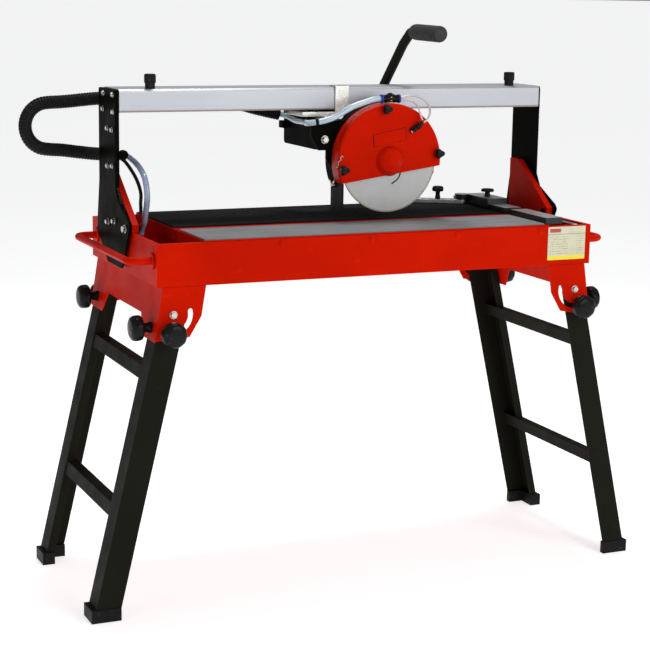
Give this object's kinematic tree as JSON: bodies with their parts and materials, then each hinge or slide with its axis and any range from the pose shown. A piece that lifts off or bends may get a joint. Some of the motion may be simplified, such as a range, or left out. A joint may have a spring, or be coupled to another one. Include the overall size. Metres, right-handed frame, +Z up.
{
  "type": "wet tile saw",
  "caption": "Sliding-rail wet tile saw: a plunging blade head on an overhead beam that tilts for bevel cuts, above a red water tray on folding legs, with a mitre fence.",
  "frame": {"origin": "middle of the foot rectangle at floor level", "axes": "+X along the tray and the cut, to the operator's right; +Y away from the operator; +Z up"},
  "size_m": [1.1503, 0.47, 1.0494],
  "materials": {
    "red_paint": "satin red powder coat",
    "guard_red": "glossy red moulded cover",
    "black_paint": "black powder coat",
    "black_plastic": "black moulded plastic",
    "mat_rubber": "grey ribbed rubber",
    "black_rubber": "black rubber or foam",
    "aluminium": "clear anodised extrusion",
    "dark_anodised": "dark anodised rail",
    "zinc_steel": "zinc plated steel",
    "blade_steel": "ground steel disc with a diamond rim",
    "hose": "translucent blue hose"
  },
  "bodies": {
    "base": {"tray": "red_paint", "front_pan": "red_paint", "back_pan": "red_paint", "front_mat": "mat_rubber", "back_mat": "mat_rubber", "leg_bracket_left": "red_paint", "leg_bracket_right": "red_paint", "carry_handle_left": "red_paint", "carry_handle_right": "red_paint", "gusset_left": "red_paint", "gusset_right": "red_paint", "pump": "black_plastic", "switch_box": "black_plastic", "fence_rail_front": "dark_anodised", "fence_rail_back": "dark_anodised", "ruler_strip": "zinc_steel", "water_hose_lower": "hose"},
    "rocker": {"switch_rocker": "black_plastic"},
    "bevel_frame": {"beam": "aluminium", "post_left": "black_paint", "post_right": "black_paint", "cable_sleeve": "black_rubber", "water_hose_upper": "hose", "power_cable": "black_rubber"},
    "stop_left": {"stop_knob_left": "black_plastic"},
    "stop_right": {"stop_knob_right": "black_plastic"},
    "carriage_body": {"carriage": "zinc_steel", "pivot_housing": "black_paint", "cable_clamp": "black_paint", "handle_tube": "black_paint", "handle_grip": "black_rubber"},
    "head": {"head_housing": "black_paint", "motor": "black_paint", "guard_cover": "guard_red", "splash_flap": "black_rubber", "water_valve": "black_plastic", "head_hose": "hose"},
    "guard_screw_1": {"guard_knob_1": "black_plastic"},
    "guard_screw_2": {"guard_knob_2": "black_plastic"},
    "guard_screw_3": {"guard_knob_3": "black_plastic"},
    "blade_body": {"blade": "blade_steel", "arbor": "zinc_steel"},
    "fence": {"fence_slider": "dark_anodised"},
    "fence_lock": {"slider_knob": "black_plastic"},
    "mitre": {"mitre_arm": "zinc_steel"},
    "mitre_lock": {"mitre_knob": "black_plastic"},
    "legs_left": {"leg_frame_left": "black_paint", "foot_left_front": "black_plastic", "foot_left_back": "black_plastic"},
    "legs_right": {"leg_frame_right": "black_paint", "foot_right_front": "black_plastic", "foot_right_back": "black_plastic"},
    "face_screw_left_front": {"face_knob_left_front": "black_plastic"},
    "side_screw_left_front": {"side_knob_left_front": "black_plastic"},
    "face_screw_left_back": {"face_knob_left_back": "black_plastic"},
    "side_screw_left_back": {"side_knob_left_back": "black_plastic"},
    "face_screw_right_front": {"face_knob_right_front": "black_plastic"},
    "side_screw_right_front": {"side_knob_right_front": "black_plastic"},
    "face_screw_right_back": {"face_knob_right_back": "black_plastic"},
    "side_screw_right_back": {"side_knob_right_back": "black_plastic"}
  },
  "joints": [
    {"name": "bevel", "type": "hinge", "parent": "base", "child": "bevel_frame", "pos_m": [0, -0.043, 0.682], "axis": [1, 0, 0], "range_deg": [0, 45], "deforming": ["power_cable", "water_hose_upper"]},
    {"name": "rail_slide", "type": "slide", "parent": "bevel_frame", "child": "carriage_body", "axis": [1, 0, 0], "range_m": [-0.305, 0.274], "deforming": ["cable_sleeve"]},
    {"name": "plunge", "type": "hinge", "parent": "carriage_body", "child": "head", "pos_m": [-0.0475, 0, 0.8324], "axis": [0, 1, 0], "range_deg": [0, 8], "deforming": ["head_hose"]},
    {"name": "blade_spin", "type": "hinge", "parent": "head", "child": "blade_body", "pos_m": [0.076, -0.043, 0.793], "axis": [0, 1, 0], "continuous": true},
    {"name": "fold_left", "type": "hinge", "parent": "base", "child": "legs_left", "pos_m": [-0.409, 0, 0.5495], "axis": [0, -1, 0], "range_deg": [0, 103]},
    {"name": "fold_right", "type": "hinge", "parent": "base", "child": "legs_right", "pos_m": [0.409, 0, 0.5495], "axis": [0, 1, 0], "range_deg": [0, 90]},
    {"name": "fence_slide", "type": "slide", "parent": "base", "child": "fence", "axis": [0, 1, 0], "range_m": [-0.055, 0.05]},
    {"name": "mitre_turn", "type": "hinge", "parent": "fence", "child": "mitre", "pos_m": [0.33, 0.127, 0.687], "axis": [0, 0, 1], "range_deg": [-17, 52]},
    {"name": "switch_rock", "type": "hinge", "parent": "base", "child": "rocker", "pos_m": [-0.3735, 0.21525, 0.633], "axis": [0, 1, 0], "range_deg": [-10, 10]},
    {"name": "turn_stop_left", "type": "hinge", "parent": "bevel_frame", "child": "stop_left", "pos_m": [-0.3765, 0.029, 0.928], "axis": [0, 0, 1], "continuous": true},
    {"name": "turn_face_left_front", "type": "hinge", "parent": "legs_left", "child": "face_screw_left_front", "pos_m": [-0.416, -0.1933, 0.5185], "axis": [0, 1, 0], "continuous": true},
    {"name": "turn_side_left_front", "type": "hinge", "parent": "base", "child": "side_screw_left_front", "pos_m": [-0.4385, -0.165, 0.524], "axis": [1, 0, 0], "continuous": true},
    {"name": "turn_face_left_back", "type": "hinge", "parent": "legs_left", "child": "face_screw_left_back", "pos_m": [-0.416, 0.1933, 0.5185], "axis": [0, 1, 0], "continuous": true},
    {"name": "turn_side_left_back", "type": "hinge", "parent": "base", "child": "side_screw_left_back", "pos_m": [-0.4385, 0.165, 0.524], "axis": [1, 0, 0], "continuous": true},
    {"name": "turn_stop_right", "type": "hinge", "parent": "bevel_frame", "child": "stop_right", "pos_m": [0.3765, 0.029, 0.928], "axis": [0, 0, 1], "continuous": true},
    {"name": "turn_face_right_front", "type": "hinge", "parent": "legs_right", "child": "face_screw_right_front", "pos_m": [0.416, -0.1933, 0.5185], "axis": [0, 1, 0], "continuous": true},
    {"name": "turn_side_right_front", "type": "hinge", "parent": "base", "child": "side_screw_right_front", "pos_m": [0.4385, -0.165, 0.524], "axis": [1, 0, 0], "continuous": true},
    {"name": "turn_face_right_back", "type": "hinge", "parent": "legs_right", "child": "face_screw_right_back", "pos_m": [0.416, 0.1933, 0.5185], "axis": [0, 1, 0], "continuous": true},
    {"name": "turn_side_right_back", "type": "hinge", "parent": "base", "child": "side_screw_right_back", "pos_m": [0.4385, 0.165, 0.524], "axis": [1, 0, 0], "continuous": true},
    {"name": "turn_guard_1", "type": "hinge", "parent": "head", "child": "guard_screw_1", "pos_m": [0.0604, -0.0583, 0.8916], "axis": [0, 1, 0], "continuous": true},
    {"name": "turn_guard_2", "type": "hinge", "parent": "head", "child": "guard_screw_2", "pos_m": [-0.0265, -0.0583, 0.7785], "axis": [0, 1, 0], "continuous": true},
    {"name": "turn_guard_3", "type": "hinge", "parent": "head", "child": "guard_screw_3", "pos_m": [0.1738, -0.0583, 0.8054], "axis": [0, 1, 0], "continuous": true},
    {"name": "turn_fence_lock", "type": "hinge", "parent": "fence", "child": "fence_lock", "pos_m": [0.3605, 0.072, 0.7013], "axis": [0, 0, 1], "continuous": true},
    {"name": "turn_mitre_lock", "type": "hinge", "parent": "mitre", "child": "mitre_lock", "pos_m": [0.28674, 0.15, 0.6898], "axis": [0, 0, 1], "continuous": true}
  ]
}
